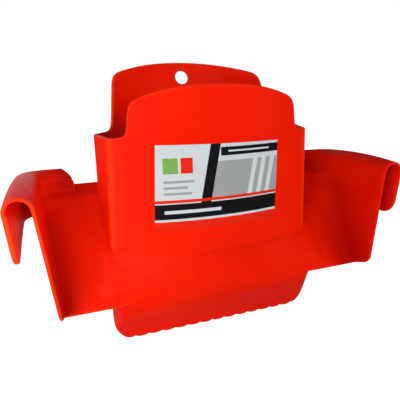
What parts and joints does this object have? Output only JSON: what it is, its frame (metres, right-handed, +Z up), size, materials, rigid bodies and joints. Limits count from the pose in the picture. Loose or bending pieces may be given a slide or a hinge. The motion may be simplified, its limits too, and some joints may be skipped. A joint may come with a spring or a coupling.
{
  "type": "flat mop wringer",
  "caption": "Moulded wringer for flat mops: a deep bowed pocket with a slotted drain floor, on wings that hook over the rim of a bucket.",
  "frame": {"origin": "midway between the two hooks, at the height of the bucket rim inside the hook crowns, level with the ends of the front wall", "axes": "+X to the right seen from the label side, +Y back from the label, +Z up"},
  "size_m": [0.287, 0.1286, 0.2048],
  "materials": {
    "moulding": "semi-gloss injection moulding",
    "label": "printed film"
  },
  "bodies": {
    "root": {"back_tab": "moulding", "back_wall": "moulding", "drain_floor": "moulding", "drain_ribs": "moulding", "front_belly": "moulding", "front_label": "label", "front_tab": "moulding", "front_wall": "moulding", "left_basket_end": "moulding", "left_end_plate": "moulding", "left_hook_crown": "moulding", "left_hook_skirt": "moulding", "left_rim_wall": "moulding", "left_side_wall": "moulding", "left_wing_lip": "moulding", "left_wing_panel": "moulding", "lower_back_wall": "moulding", "right_basket_end": "moulding", "right_end_plate": "moulding", "right_hook_crown": "moulding", "right_hook_skirt": "moulding", "right_rim_wall": "moulding", "right_side_wall": "moulding", "right_wing_lip": "moulding", "right_wing_panel": "moulding"}
  },
  "joints": []
}
